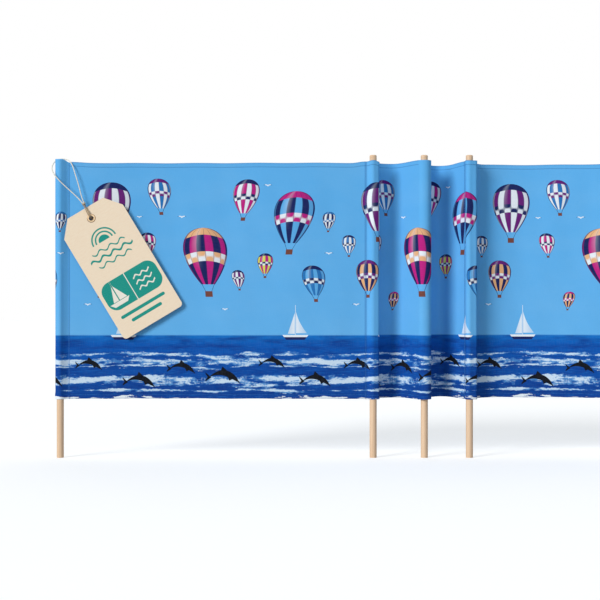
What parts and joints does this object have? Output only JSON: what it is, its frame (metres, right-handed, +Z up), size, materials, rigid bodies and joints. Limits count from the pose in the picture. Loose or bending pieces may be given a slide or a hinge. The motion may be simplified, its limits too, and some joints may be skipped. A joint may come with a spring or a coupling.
{
  "type": "beach windbreak",
  "caption": "Free-standing run of beach windbreak: pointed wooden posts in sewn pockets carry one long cloth in bays, with a hang tag, a strap and ribbon ties.",
  "frame": {"origin": "middle of the blunt end of the first post's point, the lowest point of the windbreak, 201 mm under the sand", "axes": "+Z up along the posts, +X along the run from the first post to the last, the print faces -Y"},
  "size_m": [2.4001, 0.1328, 1.214],
  "materials": {
    "wood": "sanded, unvarnished",
    "cloth": "printed plain weave",
    "card": "uncoated card",
    "eyelet": "satin",
    "twine": "twisted jute",
    "webbing": "woven tape"
  },
  "bodies": {
    "root": {"post_1": "wood", "post_2": "wood", "post_3": "wood", "post_4": "wood", "post_5": "wood", "pocket_1": "cloth", "pocket_2": "cloth", "pocket_3": "cloth", "pocket_4": "cloth", "pocket_5": "cloth", "wound_cloth_front": "cloth", "wound_cloth_back": "cloth", "bay_1_cloth": "cloth", "bay_1_top_hem": "cloth", "bay_1_bottom_hem": "cloth", "bay_2_cloth": "cloth", "bay_2_top_hem": "cloth", "bay_2_bottom_hem": "cloth", "bay_3_cloth": "cloth", "bay_3_top_hem": "cloth", "bay_3_bottom_hem": "cloth", "bay_4_cloth": "cloth", "bay_4_top_hem": "cloth", "bay_4_bottom_hem": "cloth", "hang_tag": "card", "tag_eyelet": "eyelet", "tag_twine": "twine", "carry_strap": "webbing", "tie_lower": "webbing", "tie_upper": "webbing"}
  },
  "joints": []
}
